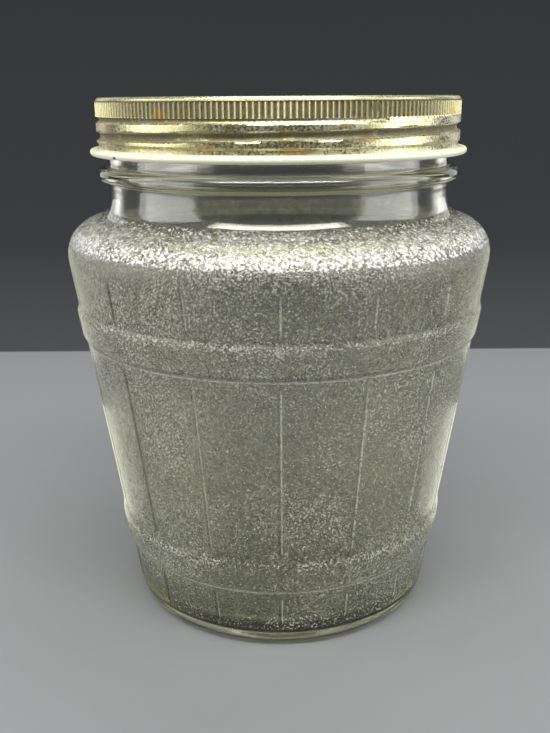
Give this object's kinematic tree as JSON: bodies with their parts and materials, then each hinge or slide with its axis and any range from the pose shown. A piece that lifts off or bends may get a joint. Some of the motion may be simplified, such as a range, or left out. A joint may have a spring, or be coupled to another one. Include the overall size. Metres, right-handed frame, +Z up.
{
  "type": "canning jar",
  "caption": "Clear textured glass storage jar shaped like a small barrel, with hoops and staves, a beaded neck and a threaded metal lid with a rolled edge.",
  "frame": {"origin": "centre of the foot, on the surface that the jar stands on", "axes": "+Z up along the jar's axis, -Y towards the front, where a joint between two staves faces"},
  "size_m": [0.134, 0.134, 0.1633],
  "materials": {
    "glass": "clear, with a fine pebbled texture on the body and smooth at the neck",
    "lid_metal": "worn gold lacquer on tinplate, with a cream enamelled edge"
  },
  "bodies": {
    "root": {"jar": "glass", "lid": "lid_metal"}
  },
  "joints": []
}
